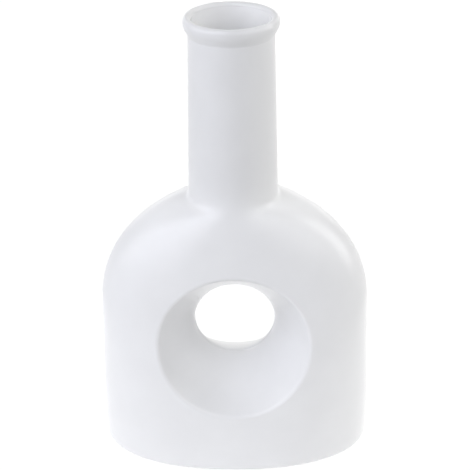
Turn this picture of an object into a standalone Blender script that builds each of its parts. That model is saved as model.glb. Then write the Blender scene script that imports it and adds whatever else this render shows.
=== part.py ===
"""Ceramic bud vase: an arched, flattened body with a round tunnel through it and a tall neck.

The vase is seven clay pieces that are luted together with slip before firing: a base plate with
its foot ring, the front and back shells of the hollow body, the two funnels that meet at the waist
of the tunnel, the neck tube and the rolled lip. Nothing moves.
The vase stands on z = 0 with +Z up. The tunnel runs along Y and the front faces -Y. All sizes are metres.
"""

import math

import bmesh
import bpy
from mathutils import Vector

# Body
FOOT_WIDTH = 0.1170
FOOT_DEPTH = 0.0640
BODY_WIDTH = 0.1160  # where the sides turn into the shoulders
SIDE_SWELL = 0.0009  # how far each side bulges, most a third of the way up to there
SIDE_HEIGHT = 0.0716  # from the table to where the sides turn into the shoulders
SHOULDER_HEIGHT = 0.1214  # from the table to the root of the neck
SHOULDER_SWEEP = math.radians(76)  # how much of a quarter ellipse each shoulder uses
FACE_SWELL = 0.0024  # how far front and back bulge past a straight taper, most halfway up
SHOULDER_SWELL = 0.0022  # how far they bulge besides, most two thirds of the way up
FOOT_SQUARENESS = 0.2  # added to the exponent of 2 across the width at the foot, gone at the neck
FACE_SQUARENESS = 0.6  # added halfway up, gone at the foot and the neck
WALL = 0.0040
LUTE_GAP = 0.0003  # the film of slip between two pieces

# Base plate
BOTTOM_ROUND = 0.0040
LEDGE_RISE = 0.0020  # upright edge between the rounded bottom and the shells
FOOT_BAND = 0.0060  # width of the bare ring that stands on the table
FOOT_RECESS = 0.0015
FOOT_CHAMFER = 0.0010
FLOOR = 0.0040
REGISTER_RISE = 0.0025  # the raised rim that centres the shells
REGISTER_WIDTH = 0.0030

# Tunnel
TUNNEL_HEIGHT = 0.0615  # from the table to the tunnel's axis
MOUTH_RADIUS = 0.0325
MOUTH_ROLL = 0.0010  # rounding from the tunnel wall onto the face
MOUTH_LAND = 0.0010  # flush rim between the rounding and the shell
WAIST_RADIUS = 0.01745
WAIST_ROUND = 0.0030
FUNNEL_WALL = 0.0035

# Neck and lip
HEIGHT = 0.2000  # from the table to the top of the lip
NECK_BORE = 0.0146  # radius
NECK_FOOT_WALL = 0.0043
NECK_TOP_WALL = 0.0029
ROOT_FILLET = 0.0008
ROOT_LAND = 0.0003
SPIGOT_WALL = 0.0022
SPIGOT_DEPTH = 0.0060
LIP_CREST = 0.0022  # from the lip's widest ring up to its top
LIP_SKIRT = 0.0054  # from the widest ring down to the neck
LIP_OVERHANG = 0.0020  # past the top of the neck
SKIRT_FLARE = 0.0005  # lean of the skirt's curve where it leaves the neck
SKIRT_FLARE_RISE = 0.0016
SKIRT_UPRIGHT = 0.0026  # pull of the curve straight down below the widest ring
LIP_FLARE = 0.0016  # how far the bore opens out inside the lip
FLARE_EASE = 0.0018  # pull of the flare's curve straight up at each end
COLLAR_WALL = 0.0013  # the neck's raised collar that centres the lip
COLLAR_RISE = 0.0012

# Sizes that follow from those above
NECK_ROOT_RADIUS = NECK_BORE + NECK_FOOT_WALL + ROOT_FILLET
SPIGOT_RADIUS = NECK_BORE + SPIGOT_WALL
FLANGE_RADIUS = MOUTH_RADIUS + MOUTH_ROLL + MOUTH_LAND
LEDGE_HEIGHT = BOTTOM_ROUND + LEDGE_RISE
SHELL_BOTTOM = LEDGE_HEIGHT + LUTE_GAP
LIP_SEAT = HEIGHT - LIP_CREST - LIP_SKIRT

# Fineness of the facets
BODY_SIDES = 64
TUNNEL_SIDES = 60
NECK_SIDES = 48
SIDE_RINGS = 5
SHOULDER_RINGS = 10
THROAT_RINGS = 5
FUNNEL_BACK_RINGS = 3
ROUND_STEPS = 3
SKIRT_STEPS = 5
CREST_STEPS = 8
FLARE_STEPS = 4

# Glaze
WHITE_GLAZE = (0.830, 0.835, 0.860)
SATIN = 0.38

FRONT, BACK = -1, 1


def half_width(z):
    """Nearly upright sides with a slight swell, then an elliptical arc that ends on the neck's root."""
    if z <= SIDE_HEIGHT:
        below = (SIDE_HEIGHT - z) / SIDE_HEIGHT
        taper = (BODY_WIDTH + (FOOT_WIDTH - BODY_WIDTH) * below**2) / 2
        return taper + 27 / 4 * SIDE_SWELL * below**2 * (1 - below)
    reach = (BODY_WIDTH / 2 - NECK_ROOT_RADIUS) / (1 - math.cos(SHOULDER_SWEEP))
    rise = (SHOULDER_HEIGHT - SIDE_HEIGHT) / math.sin(SHOULDER_SWEEP)
    sine = (z - SIDE_HEIGHT) / rise
    return BODY_WIDTH / 2 - reach * (1 - math.sqrt(1 - sine**2))


def half_depth(z):
    """A straight taper from the foot to the neck's root and two swells, each peaking at its own size."""
    up = z / SHOULDER_HEIGHT
    taper = FOOT_DEPTH / 2 * (1 - up) + NECK_ROOT_RADIUS * up
    return taper + 4 * FACE_SWELL * up * (1 - up) + 27 / 4 * SHOULDER_SWELL * up**2 * (1 - up)


def exponent(z):
    """The section's exponent across the width, which ends as a circle's 2 at the neck."""
    up = z / SHOULDER_HEIGHT
    return 2 + FOOT_SQUARENESS * (1 - up) + 4 * FACE_SQUARENESS * up * (1 - up)


def level(point):
    """One on the body's surface, less inside it."""
    n = exponent(point.z)
    return abs(point.x / half_width(point.z)) ** n + (point.y / half_depth(point.z)) ** 2


def outward(point):
    """The surface's normal, from the slope of the level along each axis."""
    step = WALL / 1000
    slopes = []
    for axis in (Vector((step, 0, 0)), Vector((0, step, 0)), Vector((0, 0, step))):
        slopes.append(level(point + axis) - level(point - axis))
    return Vector(slopes).normalized()


def surface_point(angle, z):
    across = math.cos(angle)
    x = half_width(z) * math.copysign(abs(across) ** (2 / exponent(z)), across)
    y = half_depth(z) * math.sin(angle)
    return Vector((x, y, z))


def face_depth(x, z):
    """How far the front or back face lies from the middle plane."""
    return half_depth(z) * math.sqrt(1 - abs(x / half_width(z)) ** exponent(z))


def turns(count):
    return [math.tau * i / count for i in range(count)]


def outline(z, inset=0.0):
    """The body's section at a height, drawn in by the inset all round."""
    ring = []
    for angle in turns(BODY_SIDES):
        point = surface_point(angle, z)
        sideways = outward(point)
        sideways.z = 0
        ring.append(point - inset * sideways.normalized())
    return ring


def inner_ring(z):
    """The section at a height, moved in square to the surface by the wall."""
    points = [surface_point(angle, z) for angle in turns(BODY_SIDES)]
    return [point - WALL * outward(point) for point in points]


def circle(radius, z, sides):
    return [Vector((radius * math.cos(a), radius * math.sin(a), z)) for a in turns(sides)]


def tunnel_ring(side, radius_and_depth):
    """A ring about the tunnel's axis, from a rule that gives radius and depth at each angle."""
    ring = []
    for angle in turns(TUNNEL_SIDES):
        radius, depth = radius_and_depth(angle)
        ring.append(Vector((radius * math.cos(angle), side * depth, radius * math.sin(angle))))
    return ring


def loft(name, rings, closed=False):
    """Skin a row of rings: capped at both ends, or closed round from the last ring to the first."""
    bm = bmesh.new()
    loops = [[bm.verts.new(point) for point in ring] for ring in rings]
    pairs = list(zip(loops, loops[1:]))
    if closed:
        pairs.append((loops[-1], loops[0]))
    else:
        bm.faces.new(loops[0])
        bm.faces.new(loops[-1])
    for low, high in pairs:
        for i in range(len(low)):
            bm.faces.new((low[i - 1], low[i], high[i], high[i - 1]))
    bmesh.ops.recalc_face_normals(bm, faces=bm.faces)
    mesh = bpy.data.meshes.new(name)
    bm.to_mesh(mesh)
    bm.free()
    return add(name, mesh)


def turned(name, profile):
    """Spin a closed profile of (radius, height) points about Z."""
    bm = bmesh.new()
    points = [bm.verts.new((radius, 0, z)) for radius, z in profile]
    edges = [bm.edges.new((points[i - 1], points[i])) for i in range(len(points))]
    bmesh.ops.spin(
        bm, geom=points + edges, axis=(0, 0, 1), cent=(0, 0, 0),
        angle=math.tau, steps=NECK_SIDES, use_merge=True,
    )
    bmesh.ops.recalc_face_normals(bm, faces=bm.faces)
    mesh = bpy.data.meshes.new(name)
    bm.to_mesh(mesh)
    bm.free()
    return add(name, mesh)


def add(name, mesh):
    """Put a mesh into the scene, smooth but for its corners."""
    mesh.shade_smooth()
    mesh.set_sharp_from_angle(angle=math.radians(40))
    piece = bpy.data.objects.new(name, mesh)
    bpy.context.scene.collection.objects.link(piece)
    return piece


def glaze(piece):
    """A satin white glaze of the piece's own."""
    material = bpy.data.materials.new(piece.name + "_glaze")
    material.use_nodes = True
    shader = material.node_tree.nodes["Principled BSDF"]
    shader.inputs["Base Color"].default_value = (*WHITE_GLAZE, 1)
    shader.inputs["Roughness"].default_value = SATIN
    shader.inputs["Metallic"].default_value = 0
    piece.data.materials.append(material)


def cutter(piece):
    piece.hide_render = True
    piece.display_type = "WIRE"
    return piece


def cut(piece, tool):
    boolean = piece.modifiers.new(tool.name, "BOOLEAN")
    boolean.operation = "DIFFERENCE"
    boolean.solver = "EXACT"
    boolean.object = tool


def arc(centre, across, up, start, end, steps):
    """Points on an elliptical arc, as (radius, height)."""
    points = []
    for i in range(steps + 1):
        angle = start + (end - start) * i / steps
        points.append((centre[0] + across * math.cos(angle), centre[1] + up * math.sin(angle)))
    return points


def swing(handles, share):
    """A point on a smooth curve from the first handle to the last, drawn towards those between."""
    while len(handles) > 1:
        handles = [a.lerp(b, share) for a, b in zip(handles, handles[1:])]
    return handles[0]


def base_plate():
    """Foot ring with a recess inside it, rounded edge, ledge for the shells and a raised rim."""
    rings = [
        outline(FOOT_RECESS, BOTTOM_ROUND + FOOT_BAND + FOOT_CHAMFER),
        outline(0, BOTTOM_ROUND + FOOT_BAND),
    ]
    centre = (BOTTOM_ROUND, BOTTOM_ROUND)
    for inset, z in arc(centre, BOTTOM_ROUND, BOTTOM_ROUND, -math.pi / 2, -math.pi, ROUND_STEPS):
        rings.append(outline(z, inset))
    rim = WALL + LUTE_GAP
    rim_top = LEDGE_HEIGHT + REGISTER_RISE
    rings += [
        outline(LEDGE_HEIGHT),
        outline(LEDGE_HEIGHT, rim),
        outline(rim_top, rim),
        outline(rim_top, rim + REGISTER_WIDTH),
        outline(FOOT_RECESS + FLOOR, rim + REGISTER_WIDTH + FOOT_CHAMFER),
    ]
    plate = loft("base_plate", rings)
    glaze(plate)
    return plate


def ring_heights(bottom):
    """Even steps up the sides, then even turns round the shoulders."""
    heights = [bottom + (SIDE_HEIGHT - bottom) * i / SIDE_RINGS for i in range(SIDE_RINGS)]
    rise = (SHOULDER_HEIGHT - SIDE_HEIGHT) / math.sin(SHOULDER_SWEEP)
    for i in range(SHOULDER_RINGS + 1):
        heights.append(SIDE_HEIGHT + rise * math.sin(SHOULDER_SWEEP * i / SHOULDER_RINGS))
    return heights


def shell_cutters():
    """What is taken out of the solid body: its hollow, the tunnel's mouths and the neck's socket."""
    hollow = [inner_ring(z) for z in ring_heights(SHELL_BOTTOM - WALL)]
    mouth = FLANGE_RADIUS + LUTE_GAP
    through = [tunnel_ring(side, lambda angle: (mouth, FOOT_DEPTH)) for side in (FRONT, BACK)]
    socket_radius = SPIGOT_RADIUS + LUTE_GAP
    socket_floor = SHOULDER_HEIGHT - SPIGOT_DEPTH - LUTE_GAP
    socket = [
        circle(socket_radius, socket_floor, NECK_SIDES),
        circle(socket_radius, HEIGHT, NECK_SIDES),
    ]
    tools = [loft("hollow", hollow), loft("mouths", through), loft("socket", socket)]
    tools[1].location.z = TUNNEL_HEIGHT
    return [cutter(tool) for tool in tools]


def other_half(side):
    """A block over everything on the far side of the seam between the shells."""
    bm = bmesh.new()
    bmesh.ops.create_cube(bm, size=2 * HEIGHT)
    mesh = bpy.data.meshes.new("other_half")
    bm.to_mesh(mesh)
    bm.free()
    block = add("other_half", mesh)
    block.location.y = -side * (HEIGHT - LUTE_GAP / 2)
    return cutter(block)


def shell(name, side, tools):
    """Half of the hollow body, split from the other half at the middle plane."""
    half = loft(name, [outline(z) for z in ring_heights(SHELL_BOTTOM)])
    for tool in tools + [other_half(side)]:
        cut(half, tool)
    glaze(half)
    return half


def funnel(name, side):
    """One half of the hourglass tunnel, with a rolled mouth that lies flush in its shell."""
    spread = MOUTH_RADIUS - WAIST_RADIUS

    def depth_at(angle, radius):
        return face_depth(radius * math.cos(angle), TUNNEL_HEIGHT + radius * math.sin(angle))

    def slope(angle):
        reach = math.sqrt((spread + WAIST_ROUND) ** 2 - WAIST_ROUND**2)
        return reach / depth_at(angle, MOUTH_RADIUS)

    def throat(angle, depth):
        """A hyperbola: round at the waist and straight towards the mouth."""
        return WAIST_RADIUS + math.hypot(WAIST_ROUND, slope(angle) * depth) - WAIST_ROUND

    def roll_start(angle):
        depth = depth_at(angle, MOUTH_RADIUS)
        return depth * (1 - MOUTH_ROLL / math.hypot(depth, spread))

    def inside(share):
        def rule(angle):
            depth = LUTE_GAP / 2 + share * (roll_start(angle) - LUTE_GAP / 2)
            return throat(angle, depth), depth
        return rule

    def roll(share):
        """A curve pulled towards the corner of tunnel wall and face."""
        def rule(angle):
            first = Vector((throat(angle, roll_start(angle)), roll_start(angle)))
            corner = Vector((MOUTH_RADIUS, depth_at(angle, MOUTH_RADIUS)))
            outer = MOUTH_RADIUS + MOUTH_ROLL
            last = Vector((outer, depth_at(angle, outer)))
            return swing([first, corner, last], share)
        return rule

    def flange(inset):
        return lambda angle: (FLANGE_RADIUS, depth_at(angle, FLANGE_RADIUS) - inset)

    def back(share):
        def rule(angle):
            depth = LUTE_GAP / 2 + share * (depth_at(angle, FLANGE_RADIUS) - WALL - LUTE_GAP / 2)
            return throat(angle, depth) + FUNNEL_WALL * math.hypot(1, slope(angle)), depth
        return rule

    rules = [inside(i / THROAT_RINGS) for i in range(THROAT_RINGS)]
    rules += [roll(i / ROUND_STEPS) for i in range(ROUND_STEPS + 1)]
    rules += [flange(0), flange(WALL)]
    rules += [back(1 - i / FUNNEL_BACK_RINGS) for i in range(FUNNEL_BACK_RINGS + 1)]
    half = loft(name, [tunnel_ring(side, rule) for rule in rules], closed=True)
    half.location.z = TUNNEL_HEIGHT
    glaze(half)
    return half


def neck_tube():
    """A tapered tube: a spigot below its shoulder, and a collar on top for the lip."""
    top = LIP_SEAT - LUTE_GAP - SHOULDER_HEIGHT - LUTE_GAP
    collar = NECK_BORE + COLLAR_WALL
    fillet_centre = (NECK_ROOT_RADIUS, ROOT_LAND + ROOT_FILLET)
    profile = [
        (NECK_BORE, -SPIGOT_DEPTH),
        (SPIGOT_RADIUS, -SPIGOT_DEPTH),
        (SPIGOT_RADIUS, 0),
        (NECK_ROOT_RADIUS, 0),
    ]
    profile += arc(fillet_centre, ROOT_FILLET, ROOT_FILLET, -math.pi / 2, -math.pi, ROUND_STEPS)
    profile += [
        (NECK_BORE + NECK_TOP_WALL, top),
        (collar, top),
        (collar, top + COLLAR_RISE),
        (NECK_BORE, top + COLLAR_RISE),
    ]
    tube = turned("neck_tube", profile)
    tube.location.z = SHOULDER_HEIGHT + LUTE_GAP
    glaze(tube)
    return tube


def lip_ring():
    """A rolled rim: a skirt that swings out from the neck, a round crest, a flare and a rebate."""
    neck = NECK_BORE + NECK_TOP_WALL
    mouth = NECK_BORE + LIP_FLARE
    across = (NECK_TOP_WALL + LIP_OVERHANG - LIP_FLARE) / 2
    rebate = NECK_BORE + COLLAR_WALL + LUTE_GAP
    rebate_top = COLLAR_RISE + LUTE_GAP
    skirt = [
        Vector((neck, 0)),
        Vector((neck + SKIRT_FLARE, SKIRT_FLARE_RISE)),
        Vector((neck + LIP_OVERHANG, LIP_SKIRT - SKIRT_UPRIGHT)),
        Vector((neck + LIP_OVERHANG, LIP_SKIRT)),
    ]
    flare = [
        Vector((mouth, LIP_SKIRT)),
        Vector((mouth, LIP_SKIRT - FLARE_EASE)),
        Vector((NECK_BORE, rebate_top + FLARE_EASE)),
        Vector((NECK_BORE, rebate_top)),
    ]
    profile = [swing(skirt, i / SKIRT_STEPS) for i in range(SKIRT_STEPS)]
    profile += arc((mouth + across, LIP_SKIRT), across, LIP_CREST, 0, math.pi, CREST_STEPS)
    profile += [swing(flare, i / FLARE_STEPS) for i in range(1, FLARE_STEPS + 1)]
    profile += [(rebate, rebate_top), (rebate, 0)]
    lip = turned("lip_ring", profile)
    lip.location.z = LIP_SEAT
    glaze(lip)
    return lip


def main():
    for old in list(bpy.data.objects):
        bpy.data.objects.remove(old, do_unlink=True)
    tools = shell_cutters()
    pieces = [
        base_plate(),
        shell("front_shell", FRONT, tools),
        shell("back_shell", BACK, tools),
        funnel("front_funnel", FRONT),
        funnel("back_funnel", BACK),
        neck_tube(),
        lip_ring(),
    ]
    vase = bpy.data.objects.new("vase", None)
    bpy.context.scene.collection.objects.link(vase)
    for piece in pieces:
        piece.parent = vase


main()
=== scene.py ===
"""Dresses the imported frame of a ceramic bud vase: glazed surfaces, a plain pale floor, soft studio light.

The vase is an arched, flattened hollow body with a round hourglass tunnel from front to back, and a tall
neck with a rolled lip. Every surface is a grid of points worked out from two parameters, in metres, with
+Z up, the tunnel along Y and the front facing -Y.
"""

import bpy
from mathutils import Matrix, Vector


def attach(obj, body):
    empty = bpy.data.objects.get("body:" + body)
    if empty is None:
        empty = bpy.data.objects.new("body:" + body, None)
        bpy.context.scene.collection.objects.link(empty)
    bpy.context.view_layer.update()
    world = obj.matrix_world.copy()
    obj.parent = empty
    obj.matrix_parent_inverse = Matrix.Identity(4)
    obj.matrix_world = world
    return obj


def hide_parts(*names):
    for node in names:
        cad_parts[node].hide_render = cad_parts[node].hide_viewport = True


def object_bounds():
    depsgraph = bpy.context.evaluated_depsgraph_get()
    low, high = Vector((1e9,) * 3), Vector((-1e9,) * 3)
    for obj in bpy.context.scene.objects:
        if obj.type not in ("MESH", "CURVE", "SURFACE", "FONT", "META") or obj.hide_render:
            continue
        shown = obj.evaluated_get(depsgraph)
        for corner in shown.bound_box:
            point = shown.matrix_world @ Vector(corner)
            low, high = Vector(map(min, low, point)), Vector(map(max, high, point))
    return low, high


bl_info = {
    "name": "Ceramic bud vase",
    "version": (1, 0, 0),
    "blender": (4, 5, 0),
    "location": "3D View > Sidebar > Vase",
    "description": "Makes the glazed surfaces of a bud vase over its frame, and a plain studio round it",
    "category": "Object",
}

import math

import bpy
import numpy as np
from bpy.props import FloatProperty, FloatVectorProperty, PointerProperty
from mathutils import Matrix, Vector

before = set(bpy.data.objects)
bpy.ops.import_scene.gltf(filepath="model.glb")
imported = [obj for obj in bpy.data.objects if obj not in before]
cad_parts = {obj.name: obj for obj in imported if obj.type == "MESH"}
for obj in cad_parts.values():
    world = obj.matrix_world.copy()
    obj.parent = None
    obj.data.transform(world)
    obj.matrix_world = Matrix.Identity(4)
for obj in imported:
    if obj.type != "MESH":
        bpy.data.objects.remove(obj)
CAD_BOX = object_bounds()
FRONT, BACK = -1, 1

# Columns of points round each surface, and rows along it
ROUND = 256  # round the neck, the tunnel and the foot
RIM_CORNERS = (0, 96, 152, 208, 264)  # where a shell's rim turns, along its foot, side, top and side
SHELL_ROWS = 73  # from the tunnel's hole out to that rim
INSIDE_STEP = 6  # one row of this many is enough on the hidden inside of a shell
STRAIGHT_ROWS, BAND_ROWS = 3, 5  # across straight slopes and across the foot ring
EDGE_ROWS, UPRIGHT_ROWS = 13, 5  # up the base's rounded edge and its upright side
WALL_ROWS, ROLL_ROWS, LAND_ROWS, BACK_ROWS = 61, 13, 3, 9  # along a funnel
FILLET_ROWS, CONE_ROWS, BORE_ROWS = 17, 41, 49  # along the neck
SKIRT_ROWS, CREST_ROWS, BELL_ROWS = 25, 37, 17  # along the lip

# Steps of the working
SLOPE_STEP = 0.00002  # metres each way over which the body's slope is measured
ROOF_INSET = 4  # recess depths from the foot ring to the last ring on the recess's roof
WAIST_POWER = 1.5  # over 1, so that a funnel's rows lie closer together towards the waist
LANDING_LEVELS = 61  # heights on the shoulder between which the fillet's landing is found
LANDING_SEARCH = 0.05  # how far below the neck's root they reach, over the root's height

# Noise mostly lies between 0.3 and 0.7, and each pattern uses this part of it
CLOUD_SPAN = (0.25, 0.75)
HAZE_SPAN = (0.3, 0.7)
GRIT_SPAN = (0.55, 0.7)


def linear(hex_colour):
    """sRGB hex to linear red, green and blue: each channel over 255, with the sRGB curve undone."""
    channels = np.array([int(hex_colour[i:i + 2], 16) for i in (1, 3, 5)]) / 255
    curved = ((channels + 0.055) / 1.055) ** 2.4
    return tuple(np.where(channels <= 0.04045, channels / 12.92, curved))


def length(name, default, description):
    """A size in metres."""
    return FloatProperty(
        name=name, description=description, default=default, min=0, unit="LENGTH", precision=4
    )


def angle(name, degrees, description):
    """An angle, written here in degrees."""
    return FloatProperty(
        name=name, description=description, default=math.radians(degrees), subtype="ANGLE"
    )


def number(name, default, description):
    """A plain number."""
    return FloatProperty(name=name, description=description, default=default)


def colour(name, hex_colour, description):
    """A colour, written here as sRGB hex."""
    return FloatVectorProperty(
        name=name, description=description, default=linear(hex_colour), min=0, max=1, subtype="COLOR"
    )


class VaseBody(bpy.types.PropertyGroup):
    """Sizes of the flattened, arched body and its foot."""

    foot_width: length("Foot width", 0.1170, "Width of the body at the table")
    foot_depth: length("Foot depth", 0.0640, "Depth of the body at the table, front to back")
    body_width: length("Body width", 0.1160, "Width where the sides turn into the shoulders")
    side_swell: length("Side swell", 0.00088, "Bulge of each side, most a third of the way up it")
    side_height: length("Side height", 0.0716, "Height where the sides turn into the shoulders")
    shoulder_height: length("Shoulder height", 0.1214, "Height of the root of the neck")
    shoulder_sweep: angle("Shoulder sweep", 76, "How much of a quarter ellipse each shoulder uses")
    root_radius: length("Root radius", 0.0197, "Radius of the circle that the shoulders end on")
    face_swell: length("Face swell", 0.0024, "Bulge of both faces past a straight taper, most halfway up")
    shoulder_swell: length("Shoulder swell", 0.0022, "Further bulge, most two thirds of the way up")
    foot_squareness: number("Foot squareness", 0.2, "Added to the exponent of 2 across the foot")
    face_squareness: number("Face squareness", 0.6, "Added to that exponent halfway up")
    wall: length("Wall", 0.0040, "Thickness of the shells")
    collar_wall: length("Collar wall", 0.0026, "Thickness of the shells at the root of the neck")
    collar_start: number("Collar start", 0.82, "Where the shells begin to thin, over the root's height")
    collar_run: number("Collar run", 0.16, "How far they go on thinning, over the root's height")
    bottom_round: length("Bottom round", 0.0040, "Radius of the rounded edge above the table")
    ledge_height: length("Ledge height", 0.0060, "Height of the seam between the base and the shells")
    foot_band: length("Foot band", 0.0060, "Width of the bare ring that stands on the table")
    foot_recess: length("Foot recess", 0.0015, "Depth of the recess inside the foot ring")


class VaseTunnel(bpy.types.PropertyGroup):
    """Sizes of the hourglass tunnel."""

    axis_height: length("Axis height", 0.0615, "Height of the tunnel's axis")
    mouth_radius: length("Mouth radius", 0.0325, "Radius where the tunnel's wall would meet the face")
    mouth_roll: length("Mouth roll", 0.0014, "Rounding from the wall onto the face")
    mouth_land: length("Mouth land", 0.0006, "Flush rim between the rounding and the shell")
    waist_radius: length("Waist radius", 0.01745, "Radius at the narrowest place")
    waist_round: length("Waist round", 0.0030, "How gently the wall turns at the waist")
    seam_depth: length("Seam depth", 0.0005, "Depth of the seam where the funnels meet")
    seam_width: length("Seam width", 0.0007, "Half the width of that seam")
    wall: length("Wall", 0.0035, "Thickness of the funnels")


class VaseNeck(bpy.types.PropertyGroup):
    """Sizes of the neck and its rolled lip."""

    height: length("Height", CAD_BOX[1][2], "Height of the top of the lip")
    bore_radius: length("Bore radius", 0.0146, "Radius of the hole down the neck")
    foot_radius: length("Foot radius", 0.0189, "Radius of the neck at its root")
    top_radius: length("Top radius", 0.0175, "Radius of the neck under the lip")
    side_fillet: length("Side fillet", 0.0009, "Length of the root's fillet down the shoulders")
    face_fillet: length("Face fillet", 0.0026, "Length of the root's fillet down the front and back")
    fillet_rise: number("Fillet rise", 1.5, "Length of the fillet up the neck over its length down")
    fillet_tuck: number("Fillet tuck", 1 / 12, "How far its edge goes into the shoulder, over the wall")
    spigot_radius: length("Spigot radius", 0.0168, "Radius of the spigot in the body's socket")
    spigot_depth: length("Spigot depth", 0.0060, "Depth of the spigot below the root")
    lip_crest: length("Lip crest", 0.0022, "Height of the lip's top over its widest ring")
    lip_skirt: length("Lip skirt", 0.0054, "Height of the widest ring over the neck's end")
    lip_radius: length("Lip radius", 0.0195, "Radius of the widest ring")
    skirt_flare: length("Skirt flare", 0.0005, "Lean of the skirt where it leaves the neck")
    skirt_flare_rise: length("Skirt flare rise", 0.0016, "Rise of the skirt along that lean")
    skirt_upright: length("Skirt upright", 0.0026, "Pull of the skirt straight down below the widest ring")
    crest_radius: length("Crest radius", 0.0180, "Radius of the lip's top")
    inner_crest: length("Inner crest", 0.0016, "Height of the lip's top over its inner edge")
    bell_flare: length("Bell flare", 0.0016, "How far the bore opens out towards the lip")
    bell_depth: length("Bell depth", 0.0200, "Depth below the lip's inner edge where it starts to open")


class VaseGlaze(bpy.types.PropertyGroup):
    """Colours and sizes of the glaze's own detail, and of the light and shade painted on it."""

    glaze_white: colour("Glaze white", "#F0F0F0", "The glaze where it lies thick")
    # Also the grey that the painted shade up the neck turns the satin glaze to
    thin_and_shade_white: colour("Thin white", "#E5E5E5", "The glaze where it is thin over the clay")
    # Painted light: a lighter white inside the neck and lip that lifts the shaded bore
    bore_painted_light: colour("Pool white", "#F8F8F8", "The glaze inside the neck, where it is thickest")
    # Painted shade: these three grey the satin glaze up the neck, in place of the dimmer light there
    neck_shade_foot: length("Run foot", 0.1150, "Height below which no glaze has slid off")
    neck_shade_top: length("Run top", 0.1400, "Height above which the glaze is thinnest")
    neck_shade_share: number("Run share", 0.8, "How much of the glaze has slid off there, from 0 to 1")
    bare_clay: colour("Bare clay", "#D9D3C8", "The unglazed foot ring")
    clay_grit: colour("Clay grit", "#B7AC9C", "Grit in the bare clay")
    satin: number("Satin roughness", 0.30, "Roughness of the satin glaze outside")
    gloss: number("Gloss roughness", 0.20, "Roughness of the glossier glaze inside the neck")
    clay_smooth: number("Smooth clay", 0.70, "Least roughness of the bare clay")
    clay_rough: number("Rough clay", 0.95, "Most roughness of the bare clay")
    refraction: number("Index of refraction", 1.5, "Of the glaze and of the fired clay")
    cloud_size: length("Cloud size", 0.0200, "Width of the clouds where the glaze is thicker or thinner")
    cloud_share: number("Cloud share", 0.3, "Most that the clouds thin the glaze, from 0 to 1")
    haze_size: length("Haze size", 0.0045, "Width of the patches where the satin is duller")
    haze_share: number("Haze share", 0.04, "How much the roughness goes up and down in those patches")
    peel_size: length("Peel size", 0.0012, "Width of the ripples on the glaze")
    peel_height: length("Peel height", 0.000008, "Height of those ripples")
    wave_size: length("Wave size", 0.0160, "Width of the slow waves left by the hand")
    wave_height: length("Wave height", 0.00005, "Height of those waves")
    grit_size: length("Grit size", 0.0006, "Width of the grains in the bare clay")
    grit_height: length("Grit height", 0.00006, "Height of those grains")


class VaseStudio(bpy.types.PropertyGroup):
    """The camera, the lamps and the pale floor."""

    distance: length("Camera distance", 0.6037, "From the lens to the point aimed at")
    elevation: angle("Camera elevation", 27.13, "How far the camera looks down")
    turn: angle("Camera turn", 1.01, "How far the camera stands round from the front")
    roll: angle("Camera roll", -0.71, "Tilt of the picture")
    aim_side: length("Aim side", 0.0005, "Point aimed at, to the right")
    aim_height: length("Aim height", 0.1019, "Point aimed at, over the table")
    frame_width: number("Frame width", 36.0, "Width of the camera's frame in millimetres")
    lens: number("Lens", 107.78, "Focal length in millimetres on that frame")
    near_clip: length("Near clip", 0.01, "Nearest that the camera sees")
    floor_size: length("Floor size", 6.0, "Side of the square floor")
    floor_white: colour("Floor white", "#C4C4C4", "Pale floor")
    paper_glow: number("Paper glow", 1.2, "Strength of the floor's own white where it is seen")
    paper_share: number("Paper share", 0.8, "Share of that white in what is seen, over the shaded floor")
    cool_light: colour("Cool light", "#F4F6FF", "Tint of the lamps at the front left")
    plain_light: colour("Plain light", "#FFFFFF", "Tint of the other lamps")
    lamp_aim: length("Lamp aim", 0.1, "Height of the point that the lamps are aimed at")
    table_size: length("Table size", 0.36, "Width of the glowing patch under the vase")
    table_lift: length("Table lift", 0.0005, "Height of that patch over the floor")
    table_power: number("Table power", 0.119, "Watts of that patch")


GROUPS = {
    "body": VaseBody,
    "tunnel": VaseTunnel,
    "neck": VaseNeck,
    "glaze": VaseGlaze,
    "studio": VaseStudio,
}


def middle_hump(share):
    """Nought at both ends and one halfway: four times the share times the rest."""
    return 4 * share * (1 - share)


def late_hump(share):
    """Nought at both ends and one two thirds along: 27 quarters of the share squared times the rest."""
    return 27 / 4 * share**2 * (1 - share)


def half_width(body, z):
    """Sides that widen by the square of the drop and swell a little, then an elliptical arc to the neck."""
    drop = np.clip((body.side_height - z) / body.side_height, 0, None)
    taper = (body.body_width + (body.foot_width - body.body_width) * drop**2) / 2
    sides = taper + body.side_swell * late_hump(drop)
    reach = (body.body_width / 2 - body.root_radius) / (1 - math.cos(body.shoulder_sweep))
    rise = (body.shoulder_height - body.side_height) / math.sin(body.shoulder_sweep)
    sine = np.clip((z - body.side_height) / rise, 0, 1)
    arch = body.body_width / 2 - reach * (1 - np.sqrt(1 - sine**2))
    return np.where(z <= body.side_height, sides, arch)


def half_depth(body, z):
    """A straight taper from the foot to the neck's root and two swells, each scaled to its own size."""
    up = z / body.shoulder_height
    taper = body.foot_depth / 2 * (1 - up) + body.root_radius * up
    return taper + body.face_swell * middle_hump(up) + body.shoulder_swell * late_hump(up)


def exponent(body, z):
    """The section's exponent across the width: over 2 at the foot, more halfway up, 2 at the neck."""
    up = z / body.shoulder_height
    return 2 + body.foot_squareness * (1 - up) + body.face_squareness * middle_hump(up)


def body_point(body, turn, z):
    """A point on the section at a height.

    x is half the width times the cosine of the turn to the power 2 over the exponent, and y is half the
    depth times the sine.
    """
    across = np.cos(turn)
    x = half_width(body, z) * np.sign(across) * np.abs(across) ** (2 / exponent(body, z))
    y = half_depth(body, z) * np.sin(turn)
    return np.stack(np.broadcast_arrays(x, y, z), -1)


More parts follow.
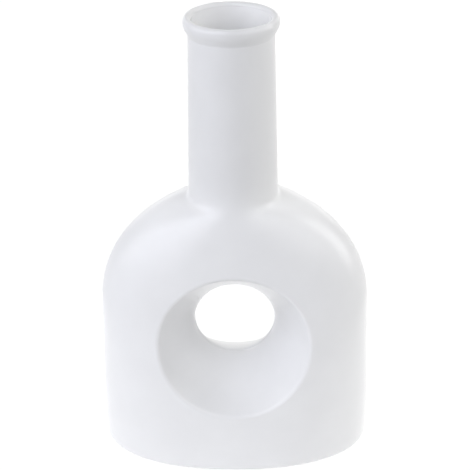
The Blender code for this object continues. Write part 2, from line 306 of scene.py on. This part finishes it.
def face_depth(body, x, z):
    """How far a face lies from the middle plane: the section solved for y."""
    share = np.abs(x / half_width(body, z)) ** exponent(body, z)
    return half_depth(body, z) * np.sqrt(np.clip(1 - share, 0, None))


def face_turn(body, x, z):
    """The turn at which a section reaches x, the other way round from body_point."""
    share = np.abs(x / half_width(body, z)) ** (exponent(body, z) / 2)
    return np.arccos(np.clip(np.sign(x) * share, -1, 1))


def body_normal(body, points):
    """The slope of the section's level, |x/width|^n + (y/depth)^2, along each axis, made one long."""
    def level(p):
        across = np.abs(p[..., 0] / half_width(body, p[..., 2])) ** exponent(body, p[..., 2])
        return across + (p[..., 1] / half_depth(body, p[..., 2])) ** 2

    steps = np.eye(3) * SLOPE_STEP
    slopes = np.stack([level(points + step) - level(points - step) for step in steps], -1)
    return slopes / np.linalg.norm(slopes, axis=-1, keepdims=True)


def bore_radius(neck, z):
    """The bore opens by a smooth step from its own radius, deep down, to the bell's under the lip."""
    down = np.clip((neck.height - neck.inner_crest - z) / neck.bell_depth, 0, 1)
    return neck.bore_radius + neck.bell_flare * (1 - down**2 * (3 - 2 * down))


def shoulder_landing(body, down):
    """The ring of points that lie these lengths down the shoulder from the neck's root.

    Short steps down the shoulder are added up, and the height is read where the sum reaches the length.
    """
    root = body.shoulder_height
    levels = np.linspace(root, root - LANDING_SEARCH * root, LANDING_LEVELS)
    shoulder = body_point(body, turns()[None], levels[:, None] + 0 * turns())
    steps = np.linalg.norm(np.diff(shoulder, axis=0), axis=-1)
    sums = np.concatenate([np.zeros((1, ROUND)), np.cumsum(steps, 0)])
    place = np.argmax(sums >= down, axis=0)
    column = np.arange(ROUND)
    before, after = sums[place - 1, column], sums[place, column]
    share = (down - before) / (after - before)
    return body_point(body, turns(), levels[place - 1] * (1 - share) + levels[place] * share)


def turns():
    """The angles of the columns, evenly round from +X towards +Y."""
    return np.linspace(0, math.tau, ROUND, endpoint=False)


def ring(radius, z):
    """Circles about Z, one for each row of radii and heights, which may also change round a circle."""
    turn = turns()
    return np.stack(np.broadcast_arrays(radius * np.cos(turn), radius * np.sin(turn), z), -1)


def spun(radii, heights):
    """A profile of radii and heights carried round Z."""
    return ring(radii[:, None], heights[:, None])


def blend(first, last, rows=2):
    """Rows of points on straight lines from one ring to another."""
    share = np.linspace(0, 1, rows)[:, None, None]
    return first * (1 - share) + last * share


def curve(handles, rows):
    """Rows of points on smooth curves from the first ring to the last, drawn towards the rings between."""
    share = np.linspace(0, 1, rows)[:, None, None]
    rings = [handle[None] for handle in handles]
    while len(rings) > 1:
        rings = [a * (1 - share) + b * share for a, b in zip(rings, rings[1:])]
    return rings[0]


def grid_normal(points):
    """The cross product of the slopes along the rows and round the columns, made one long."""
    along = np.gradient(points, axis=0, edge_order=2 if len(points) > 2 else 1)
    across = np.roll(points, -1, axis=1) - np.roll(points, 1, axis=1)
    normals = np.cross(along, across)
    return normals / np.linalg.norm(normals, axis=-1, keepdims=True)


def skin(patches, poles):
    """Vertices, four-cornered faces, a normal at each of their corners and each face's material.

    The last row of a patch is the first row of the next. Columns close round. Rows close into a ring, or
    stay open at both ends where poles will close them.
    """
    columns = patches[0][0].shape[1]
    rings = [points[:-1] for points, _, _ in patches]
    if poles:
        rings.append(patches[-1][0][-1:])
    vertices = np.concatenate(rings).reshape(-1, 3)
    here = np.arange(columns)
    beside = np.roll(here, -1)
    faces, shades, places = [], [], []
    start = 0
    for points, normals, place in patches:
        normals = grid_normal(points) if normals is None else normals
        next_normals = np.roll(normals, -1, axis=1)
        low = columns * (start + np.arange(len(points) - 1))[:, None]
        high = (low + columns) % len(vertices)
        quads = [low + here, low + beside, high + beside, high + here]
        corners = [normals[:-1], next_normals[:-1], next_normals[1:], normals[1:]]
        faces.append(np.stack(quads, -1).reshape(-1, 4))
        shades.append(np.stack(corners, -2).reshape(-1, 4, 3))
        places.append(np.full(len(faces[-1]), place))
        start += len(points) - 1
    return vertices, np.concatenate(faces), np.concatenate(shades), np.concatenate(places)


def face_outwards(vertices, faces, shades):
    """Turn the faces so that they enclose a volume over nought, and each normal to its face's side."""
    corners = vertices[faces]
    facing = np.cross(corners[:, 2] - corners[:, 0], corners[:, 3] - corners[:, 1])
    if np.sum(corners.mean(1) * facing) < 0:
        faces, shades, facing = faces[:, ::-1], shades[:, ::-1], -facing
    side = np.sign(np.sum(shades.mean(1) * facing, -1))
    return faces, shades * side[:, None, None]


def weave(name, patches, materials, node, poles=False):
    """Skin patches into one closed mesh that stands for a CAD node.

    A patch is (rows of points, normals or None, material's place). Each keeps its own normals, so curves
    run on smoothly over a seam and corners stay crisp. With poles, the first ring is closed by a level fan
    of triangles that faces down, and the last by one that faces up.
    """
    vertices, faces, shades, places = skin(patches, poles)
    faces, shades = face_outwards(vertices, faces, shades)
    faces, shades = faces.tolist(), shades.reshape(-1, 3).tolist()
    if poles:
        first = np.arange(patches[0][0].shape[1])
        last = first + len(vertices) - len(first)
        for edge, up, place in ((first, -1, patches[0][2]), (last, 1, patches[-1][2])):
            middle = np.full(len(edge), len(vertices))
            fan = np.stack([edge, np.roll(edge, -1), middle], -1)[:, ::up]
            vertices = np.concatenate([vertices, vertices[edge].mean(0)[None]])
            faces += fan.tolist()
            shades += [(0, 0, up)] * fan.size
            places = np.concatenate([places, np.full(len(fan), place)])
    mesh = bpy.data.meshes.new(name)
    mesh.from_pydata(vertices.tolist(), [], faces)
    mesh.polygons.foreach_set("use_smooth", np.ones(len(faces), bool))
    mesh.polygons.foreach_set("material_index", places.astype(np.int32))
    mesh.normals_split_custom_set(shades)
    for material in materials:
        mesh.materials.append(material)
    piece = bpy.data.objects.new(name, mesh)
    bpy.context.scene.collection.objects.link(piece)
    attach(piece, "root")
    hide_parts(node)


def add_node(tree, kind, inputs=None, **settings):
    """Add a node with its settings; an input that is a socket is linked, any other value is written."""
    node = tree.nodes.new(kind)
    for name, value in settings.items():
        setattr(node, name, value)
    for key, value in (inputs or {}).items():
        if isinstance(value, bpy.types.NodeSocket):
            tree.links.new(value, node.inputs[key])
        else:
            node.inputs[key].default_value = value
    return node


def glaze_material(name, ground_white, roughness, run):
    """White glaze, fired on: faint clouds, duller patches and a fine ripple over slow waves.

    To the eye it is a clean white with broad soft lights. The run is painted shade: how far the glaze greys
    from the root of the neck upwards, in place of the dimmer light round the upright neck.
    """
    if name in bpy.data.materials:
        return bpy.data.materials[name]
    look = bpy.context.scene.vase_glaze
    material = bpy.data.materials.new(name)
    material.use_nodes = True
    tree = material.node_tree
    shader = tree.nodes["Principled BSDF"]
    place = add_node(tree, "ShaderNodeTexCoord").outputs["Object"]
    clouds = add_node(tree, "ShaderNodeTexNoise", {
        "Vector": place, "Scale": 1 / look.cloud_size, "Detail": 3.0,
    })
    cloudy = add_node(tree, "ShaderNodeMapRange", {
        "Value": clouds.outputs["Fac"], "From Min": CLOUD_SPAN[0], "From Max": CLOUD_SPAN[1],
        "To Max": look.cloud_share,
    }, interpolation_type="SMOOTHSTEP")
    height = add_node(tree, "ShaderNodeSeparateXYZ", {"Vector": place})
    # Painted shade: the glaze greys from the root of the neck upwards, in place of the dimmer light there
    slid = add_node(tree, "ShaderNodeMapRange", {
        "Value": height.outputs["Z"], "From Min": look.neck_shade_foot, "From Max": look.neck_shade_top, "To Max": run,
    }, interpolation_type="SMOOTHSTEP")
    # Thin adds the clouds, where the glaze really is thinner, to the painted shade up the neck
    thin = add_node(tree, "ShaderNodeMath", {0: cloudy.outputs["Result"], 1: slid.outputs["Result"]})
    white = add_node(tree, "ShaderNodeMix", {
        0: thin.outputs[0], 6: (*ground_white, 1), 7: (*look.thin_and_shade_white, 1),
    }, data_type="RGBA")
    haze = add_node(tree, "ShaderNodeTexNoise", {
        "Vector": place, "Scale": 1 / look.haze_size, "Detail": 2.0,
    })
    dull = add_node(tree, "ShaderNodeMapRange", {
        "Value": haze.outputs["Fac"], "From Min": HAZE_SPAN[0], "From Max": HAZE_SPAN[1],
        "To Min": roughness * (1 - look.haze_share), "To Max": roughness * (1 + look.haze_share),
    })
    waves = add_node(tree, "ShaderNodeTexNoise", {
        "Vector": place, "Scale": 1 / look.wave_size, "Detail": 0.0,
    })
    slow = add_node(tree, "ShaderNodeBump", {
        "Height": waves.outputs["Fac"], "Strength": 1.0, "Distance": look.wave_height,
    })
    ripples = add_node(tree, "ShaderNodeTexNoise", {
        "Vector": place, "Scale": 1 / look.peel_size, "Detail": 1.0,
    })
    peel = add_node(tree, "ShaderNodeBump", {
        "Height": ripples.outputs["Fac"], "Strength": 1.0, "Distance": look.peel_height,
        "Normal": slow.outputs["Normal"],
    })
    tree.links.new(white.outputs[2], shader.inputs["Base Color"])
    tree.links.new(dull.outputs["Result"], shader.inputs["Roughness"])
    tree.links.new(peel.outputs["Normal"], shader.inputs["Normal"])
    shader.inputs["IOR"].default_value = look.refraction
    return material


def satin_white_glaze():
    """Satin glaze on the outside and in the tunnel, with soft-edged lights."""
    look = bpy.context.scene.vase_glaze
    # Its run is painted shade that greys the glaze up the neck
    return glaze_material("satin_white_glaze", look.glaze_white, look.satin, run=look.neck_shade_share)


def gloss_white_glaze():
    """The same glaze poured through the neck, glossier there; its lighter white is painted light in the
    shaded bore.
    """
    look = bpy.context.scene.vase_glaze
    return glaze_material("gloss_white_glaze", look.bore_painted_light, look.gloss, run=0)


def bare_stoneware():
    """Fired clay wiped clean of glaze: dry, a little warm, with fine darker grit."""
    name = "bare_stoneware"
    if name in bpy.data.materials:
        return bpy.data.materials[name]
    look = bpy.context.scene.vase_glaze
    material = bpy.data.materials.new(name)
    material.use_nodes = True
    tree = material.node_tree
    shader = tree.nodes["Principled BSDF"]
    place = add_node(tree, "ShaderNodeTexCoord").outputs["Object"]
    grains = add_node(tree, "ShaderNodeTexNoise", {
        "Vector": place, "Scale": 1 / look.grit_size, "Detail": 3.0,
    })
    grit = add_node(tree, "ShaderNodeMapRange", {
        "Value": grains.outputs["Fac"], "From Min": GRIT_SPAN[0], "From Max": GRIT_SPAN[1],
    })
    clay = add_node(tree, "ShaderNodeMix", {
        0: grit.outputs["Result"], 6: (*look.bare_clay, 1), 7: (*look.clay_grit, 1),
    }, data_type="RGBA")
    dry = add_node(tree, "ShaderNodeMapRange", {
        "Value": grains.outputs["Fac"], "To Min": look.clay_smooth, "To Max": look.clay_rough,
    })
    tooth = add_node(tree, "ShaderNodeBump", {
        "Height": grains.outputs["Fac"], "Strength": 1.0, "Distance": look.grit_height,
    })
    tree.links.new(clay.outputs[2], shader.inputs["Base Color"])
    tree.links.new(dry.outputs["Result"], shader.inputs["Roughness"])
    tree.links.new(tooth.outputs["Normal"], shader.inputs["Normal"])
    shader.inputs["IOR"].default_value = look.refraction
    return material


class VASE_OT_base(bpy.types.Operator):
    """Base plate with its rounded edge, bare foot ring and shallow recess"""

    bl_idname = "vase.base"
    bl_label = "Base plate"

    def execute(self, context):
        """Rings of the body's section, each drawn in level by its own inset."""
        body = context.scene.vase_body

        def section(z, inset):
            points = body_point(body, turns(), np.full(ROUND, float(z)))
            level = body_normal(body, points) * (1, 1, 0)
            return points - inset * level / np.linalg.norm(level, axis=-1, keepdims=True)

        bend = np.linspace(0, math.pi / 2, EDGE_ROWS)
        drawn_in = body.bottom_round * (1 - np.sin(bend))
        rise = body.bottom_round * (1 - np.cos(bend))
        edge = np.stack([section(z, inset) for z, inset in zip(rise, drawn_in)])
        band = body.bottom_round + body.foot_band
        roof = section(body.foot_recess, band + ROOF_INSET * body.foot_recess)
        inner = section(body.foot_recess, band + body.foot_recess)
        standing = section(0, band)
        upright_z = np.linspace(body.bottom_round, body.ledge_height, UPRIGHT_ROWS)
        upright = np.stack([section(z, 0) for z in upright_z])
        ledge = section(body.ledge_height, body.wall)
        patches = [
            (blend(roof, inner, STRAIGHT_ROWS), None, 0),
            (blend(inner, standing, STRAIGHT_ROWS), None, 1),
            (blend(standing, edge[0], BAND_ROWS), None, 1),
            (edge, None, 0),
            (upright, body_normal(body, upright), 0),
            (blend(upright[-1], ledge), None, 0),
        ]
        finishes = [satin_white_glaze(), bare_stoneware()]
        weave("base_plate_glazed", patches, finishes, "base_plate", poles=True)
        return {"FINISHED"}


class VASE_OT_shells(bpy.types.Operator):
    """Front and back shells of the hollow body, each with a round hole for the tunnel"""

    bl_idname = "vase.shells"
    bl_label = "Body shells"

    def execute(self, context):
        """Straight lines of turn and height from the hole's edge to the half section's rim, on the body.

        The inside lies behind the outside along its normals, by a wall that thins towards the neck.
        """
        body, tunnel = context.scene.vase_body, context.scene.vase_tunnel
        hole_radius = tunnel.mouth_radius + tunnel.mouth_roll + tunnel.mouth_land
        bottom, top = body.ledge_height, body.shoulder_height
        column = np.arange(RIM_CORNERS[-1])
        rim_turn = np.interp(column, RIM_CORNERS, (0, math.pi, math.pi, 0, 0))
        rim_z = np.interp(column, RIM_CORNERS, (bottom, bottom, top, top, bottom))
        way = np.arctan2((rim_z - tunnel.axis_height) / (top / 2), np.cos(rim_turn))
        hole_z = tunnel.axis_height + hole_radius * np.sin(way)
        hole_turn = face_turn(body, hole_radius * np.cos(way), hole_z)
        share = np.linspace(0, 1, SHELL_ROWS)[:, None]
        z = hole_z * (1 - share) + rim_z * share
        outside = body_point(body, hole_turn * (1 - share) + rim_turn * share, z)
        normals = body_normal(body, outside)
        thinning = np.clip((z - body.collar_start * top) / (body.collar_run * top), 0, 1)
        wall = body.wall + (body.collar_wall - body.wall) * thinning
        inside = outside - wall[..., None] * normals
        inside[..., 1] = np.maximum(inside[..., 1], 0)
        inside[..., 2] = np.maximum(inside[..., 2], bottom)
        inside = inside[::-INSIDE_STEP]
        for name, side in (("front_shell", FRONT), ("back_shell", BACK)):
            turned = np.array((1, side, 1))
            patches = [
                (outside * turned, normals * turned, 0),
                (blend(outside[-1], inside[0]) * turned, None, 0),
                (inside * turned, None, 0),
                (blend(inside[-1], outside[0]) * turned, None, 0),
            ]
            weave(name + "_glazed", patches, [satin_white_glaze()], name)
        return {"FINISHED"}


class VASE_OT_funnels(bpy.types.Operator):
    """The two funnels that meet at the waist of the tunnel, with their rolled mouths"""

    bl_idname = "vase.funnels"
    bl_label = "Tunnel funnels"

    def execute(self, context):
        """A hyperbola from waist to mouth, a curve that rolls onto the face, and a wall behind them.

        The seam at the waist is half of a bell-shaped groove in each funnel.
        """
        body, tunnel = context.scene.vase_body, context.scene.vase_tunnel
        turn = turns()
        spread = tunnel.mouth_radius - tunnel.waist_radius
        reach = math.sqrt((spread + tunnel.waist_round) ** 2 - tunnel.waist_round**2)

        def on_face(radius):
            return face_depth(body, radius * np.cos(turn), tunnel.axis_height + radius * np.sin(turn))

        def placed(radius, depth):
            parts = radius * np.cos(turn), depth, tunnel.axis_height + radius * np.sin(turn)
            return np.stack(np.broadcast_arrays(*parts), -1)

        mouth = on_face(tunnel.mouth_radius)
        slope = reach / mouth

        def throat(depth):
            return tunnel.waist_radius + np.hypot(tunnel.waist_round, slope * depth) - tunnel.waist_round

        roll_start = mouth * (1 - tunnel.mouth_roll / np.hypot(mouth, spread))
        wall_depth = np.linspace(0, 1, WALL_ROWS)[:, None] ** WAIST_POWER * roll_start
        seam = tunnel.seam_depth * np.exp(-((wall_depth / tunnel.seam_width) ** 2))
        wall = placed(throat(wall_depth) + seam, wall_depth)
        rolled = tunnel.mouth_radius + tunnel.mouth_roll
        corner = placed(tunnel.mouth_radius, mouth)
        roll = curve([wall[-1], corner, placed(rolled, on_face(rolled))], ROLL_ROWS)
        land_radius = rolled + np.linspace(0, tunnel.mouth_land, LAND_ROWS)[:, None]
        land = placed(land_radius, on_face(land_radius))
        rim = land[-1] - (0, body.wall, 0)
        back_depth = np.linspace(1, 0, BACK_ROWS)[:, None] * rim[:, 1]
        back = placed(throat(back_depth) + tunnel.wall * np.hypot(1, slope), back_depth)
        for name, side in (("front_funnel", FRONT), ("back_funnel", BACK)):
            turned = np.array((1, side, 1))
            patches = [
                (wall * turned, None, 0),
                (roll * turned, None, 0),
                (land * turned, body_normal(body, land) * turned, 0),
                (blend(land[-1], rim, STRAIGHT_ROWS) * turned, None, 0),
                (blend(rim, back[0]) * turned, None, 0),
                (back * turned, None, 0),
                (blend(back[-1], wall[0]) * turned, None, 0),
            ]
            weave(name + "_glazed", patches, [satin_white_glaze()], name)
        return {"FINISHED"}


class VASE_OT_neck(bpy.types.Operator):
    """Tapered neck with a fillet that runs out on the shoulders"""

    bl_idname = "vase.neck"
    bl_label = "Neck"

    def execute(self, context):
        """A cone from root to lip, with a fillet between the shoulder and the cone.

        The fillet is a curve drawn towards the ring where the shoulder's slope, carried on from where the
        fillet lands, meets the cone.
        """
        body, neck = context.scene.vase_body, context.scene.vase_neck
        root, end = body.shoulder_height, neck.height - neck.lip_crest - neck.lip_skirt
        lean = (neck.top_radius - neck.foot_radius) / (end - root)

        def cone_radius(z):
            return neck.foot_radius + lean * (z - root)

        def on_cone(z):
            return ring(cone_radius(z), z)

        down = neck.side_fillet + (neck.face_fillet - neck.side_fillet) * np.sin(turns()) ** 2
        landing = shoulder_landing(body, down)
        normals = body_normal(body, landing)
        uphill = np.array((0, 0, 1)) - normals * normals[:, 2:]
        uphill /= np.linalg.norm(uphill, axis=-1, keepdims=True)
        landing_z = landing[:, 2]
        radius = np.hypot(landing[:, 0], landing[:, 1])
        outward = np.sum(landing[:, :2] * uphill[:, :2], -1) / radius
        gap = radius - cone_radius(landing_z)
        meet = landing_z + uphill[:, 2] * gap / (lean * uphill[:, 2] - outward)
        fillet_top = meet + neck.fillet_rise * down
        fillet = curve([landing, on_cone(meet), on_cone(fillet_top)], FILLET_ROWS)
        share = np.linspace(0, 1, CONE_ROWS)[:, None]
        cone = on_cone(fillet_top * (1 - share) + end * share)
        under = landing - neck.fillet_tuck * body.wall * normals
        spigot_foot = root - neck.spigot_depth
        seat = ring(neck.spigot_radius, root - neck.face_fillet)
        foot = ring(neck.spigot_radius, spigot_foot)
        bore_z = np.linspace(end, spigot_foot, BORE_ROWS)
        bore = spun(bore_radius(neck, bore_z), bore_z)
        patches = [
            (blend(foot, seat), None, 0),
            (blend(seat, under), None, 0),
            (blend(under, landing), None, 0),
            (fillet, None, 0),
            (cone, None, 0),
            (blend(cone[-1], bore[0]), None, 0),
            (bore, None, 1),
            (blend(bore[-1], foot), None, 1),
        ]
        finishes = [satin_white_glaze(), gloss_white_glaze()]
        weave("neck_tube_glazed", patches, finishes, "neck_tube")
        return {"FINISHED"}


class VASE_OT_lip(bpy.types.Operator):
    """Rolled lip: a skirt that swings out from the neck and a round crest"""

    bl_idname = "vase.lip"
    bl_label = "Lip"

    def execute(self, context):
        """A curve up the skirt, quarter ellipses over the crest and the bore's bell, carried round Z."""
        neck = context.scene.vase_neck
        widest = neck.height - neck.lip_crest
        end = widest - neck.lip_skirt
        skirt = curve([
            ring(neck.top_radius, end),
            ring(neck.top_radius + neck.skirt_flare, end + neck.skirt_flare_rise),
            ring(neck.lip_radius, widest - neck.skirt_upright),
            ring(neck.lip_radius, widest),
        ], SKIRT_ROWS)
        mouth = neck.bore_radius + neck.bell_flare
        over = np.linspace(0, math.pi, CREST_ROWS)
        outside = over < math.pi / 2
        across = np.where(outside, neck.lip_radius - neck.crest_radius, neck.crest_radius - mouth)
        rise = np.where(outside, neck.lip_crest, neck.inner_crest)
        crest = spun(neck.crest_radius + across * np.cos(over), neck.height - rise * (1 - np.sin(over)))
        bell_z = np.linspace(neck.height - neck.inner_crest, end, BELL_ROWS)
        bell = spun(bore_radius(neck, bell_z), bell_z)
        patches = [
            (skirt, None, 0),
            (crest, None, 0),
            (bell, None, 1),
            (blend(bell[-1], skirt[0]), None, 1),
        ]
        finishes = [satin_white_glaze(), gloss_white_glaze()]
        weave("lip_ring_glazed", patches, finishes, "lip_ring")
        return {"FINISHED"}


# Lamps: name, tint, degrees from the front to the right and up, metres away, wide and tall, watts
SOFTBOXES = [
    ("left_softbox", "cool_light", -50, 25, 1.4, 1.5, 1.0, 11.8),
    ("front_softbox", "cool_light", -25, 50, 1.4, 0.9, 0.6, 3.2),
    ("right_softbox", "plain_light", 48, 32, 1.4, 1.4, 1.0, 7.5),
    ("left_strip", "plain_light", -90, 20, 1.4, 0.5, 0.9, 3.0),
    ("right_strip", "plain_light", 100, 20, 1.4, 0.6, 1.0, 6.6),
    ("back_left_softbox", "plain_light", -130, 35, 1.4, 1.3, 0.8, 2.7),
    ("back_right_softbox", "plain_light", 135, 35, 1.4, 1.3, 0.8, 2.3),
    ("back_top_softbox", "plain_light", 150, 50, 1.4, 1.0, 0.6, 1.7),
    ("backdrop_glow", "plain_light", 180, 4, 1.6, 2.4, 0.45, 3.8),
]


class VASE_OT_stage(bpy.types.Operator):
    """Plain pale floor, white surroundings, soft lamps and the camera"""

    bl_idname = "vase.stage"
    bl_label = "Stage"

    def execute(self, context):
        """The floor, the white all round, the lamps and the camera, in turn."""
        scene = context.scene
        studio = scene.vase_studio
        scene.view_settings.view_transform = "Standard"
        self.lay_floor(scene, studio)
        self.whiten_round(scene)
        for softbox in SOFTBOXES:
            self.hang_softbox(scene, studio, *softbox)
        self.light_table(scene, studio)
        self.place_camera(scene, studio)
        return {"FINISHED"}

    @staticmethod
    def seen(tree):
        """One for rays from the camera, from gloss or through glass, nought for other rays."""
        rays = add_node(tree, "ShaderNodeLightPath").outputs
        direct = add_node(tree, "ShaderNodeMath", {
            0: rays["Is Camera Ray"], 1: rays["Is Glossy Ray"],
        }, operation="MAXIMUM")
        every = add_node(tree, "ShaderNodeMath", {
            0: direct.outputs[0], 1: rays["Is Transmission Ray"],
        }, operation="MAXIMUM")
        return every.outputs[0]

    def lay_floor(self, scene, studio):
        """A flat square: white paper with a faint shadow where it is seen, pale and matt to other rays."""
        half = studio.floor_size / 2
        corners = [(-half, -half, 0), (half, -half, 0), (half, half, 0), (-half, half, 0)]
        mesh = bpy.data.meshes.new("paper_floor")
        mesh.from_pydata(corners, [], [(0, 1, 2, 3)])
        floor = bpy.data.objects.new("paper_floor", mesh)
        scene.collection.objects.link(floor)
        material = bpy.data.materials.new("white_paper")
        material.use_nodes = True
        tree = material.node_tree
        tree.nodes.remove(tree.nodes["Principled BSDF"])
        matt = add_node(tree, "ShaderNodeBsdfDiffuse", {"Color": (*studio.floor_white, 1)})
        bright = add_node(tree, "ShaderNodeEmission", {
            "Color": (1, 1, 1, 1), "Strength": studio.paper_glow,
        })
        share = add_node(tree, "ShaderNodeMath", {
            0: self.seen(tree), 1: studio.paper_share,
        }, operation="MULTIPLY")
        mixed = add_node(tree, "ShaderNodeMixShader", {
            0: share.outputs[0], 1: matt.outputs[0], 2: bright.outputs[0],
        })
        tree.links.new(mixed.outputs[0], tree.nodes["Material Output"].inputs["Surface"])
        mesh.materials.append(material)

    def whiten_round(self, scene):
        """White all round where it is seen, also in the glaze's gloss, and dark to other rays."""
        scene.world = bpy.data.worlds.new("white_surround")
        scene.world.use_nodes = True
        tree = scene.world.node_tree
        surround = tree.nodes["Background"]
        surround.inputs["Color"].default_value = (1, 1, 1, 1)
        tree.links.new(self.seen(tree), surround.inputs["Strength"])

    def light_table(self, scene, studio):
        """A round patch of the floor under the vase that glows upwards, as a lit table does."""
        lamp = bpy.data.lights.new("light_table", "AREA")
        lamp.shape = "DISK"
        lamp.size = studio.table_size
        lamp.energy = studio.table_power
        table = bpy.data.objects.new("light_table", lamp)
        table.location = (0, 0, studio.table_lift)
        table.rotation_euler = (math.pi, 0, 0)
        table.visible_camera = False
        scene.collection.objects.link(table)

    def hang_softbox(self, scene, studio, name, tint, turn, height, away, wide, tall, power):
        """An oblong lamp on a sphere round the vase, aimed at the middle of the vase."""
        turn, height = math.radians(turn), math.radians(height)
        level = math.cos(height)
        way = Vector((math.sin(turn) * level, -math.cos(turn) * level, math.sin(height)))
        lamp = bpy.data.lights.new(name, "AREA")
        lamp.shape = "RECTANGLE"
        lamp.size = wide
        lamp.size_y = tall
        lamp.color = getattr(studio, tint)
        lamp.energy = power
        box = bpy.data.objects.new(name, lamp)
        box.location = Vector((0, 0, studio.lamp_aim)) + away * way
        box.rotation_euler = (-way).to_track_quat("-Z", "Y").to_euler()
        box.visible_camera = False
        scene.collection.objects.link(box)

    def place_camera(self, scene, studio):
        """Stand back from the aim along the line of sight, turn round the vase and roll the picture."""
        down = studio.elevation
        aim = Vector((studio.aim_side, 0, studio.aim_height))
        stand = aim - studio.distance * Vector((0, math.cos(down), -math.sin(down)))
        camera = bpy.data.objects.new("camera", bpy.data.cameras.new("camera"))
        camera.data.sensor_width = studio.frame_width
        camera.data.lens = studio.lens
        camera.data.clip_start = studio.near_clip
        camera.matrix_world = (
            Matrix.Rotation(studio.turn, 4, "Z") @ Matrix.Translation(stand)
            @ Matrix.Rotation(math.pi / 2 - down, 4, "X") @ Matrix.Rotation(studio.roll, 4, "Z")
        )
        scene.collection.objects.link(camera)
        scene.camera = camera


OPERATORS = [VASE_OT_base, VASE_OT_shells, VASE_OT_funnels, VASE_OT_neck, VASE_OT_lip, VASE_OT_stage]


class VIEW3D_PT_vase(bpy.types.Panel):
    """Lists the vase's sizes and the buttons that make its pieces"""

    bl_label = "Bud vase"
    bl_space_type = "VIEW_3D"
    bl_region_type = "UI"
    bl_category = "Vase"

    def draw(self, context):
        """A box of values for each group, then a button for each operator."""
        for name, group in GROUPS.items():
            box = self.layout.box()
            box.label(text=name.capitalize())
            for size in group.__annotations__:
                box.prop(getattr(context.scene, "vase_" + name), size)
        for operator in OPERATORS:
            self.layout.operator(operator.bl_idname)


CLASSES = [*GROUPS.values(), *OPERATORS, VIEW3D_PT_vase]


def register():
    """Add the classes and hang each group of values on the scene."""
    for cls in CLASSES:
        bpy.utils.register_class(cls)
    for name, group in GROUPS.items():
        setattr(bpy.types.Scene, "vase_" + name, PointerProperty(type=group))


def unregister():
    """Take the groups and the classes away again."""
    for name in GROUPS:
        delattr(bpy.types.Scene, "vase_" + name)
    for cls in reversed(CLASSES):
        bpy.utils.unregister_class(cls)


def main():
    """Make every piece and the stage."""
    register()
    bpy.ops.vase.base()
    bpy.ops.vase.shells()
    bpy.ops.vase.funnels()
    bpy.ops.vase.neck()
    bpy.ops.vase.lip()
    bpy.ops.vase.stage()


if __name__ == "__main__":
    main()
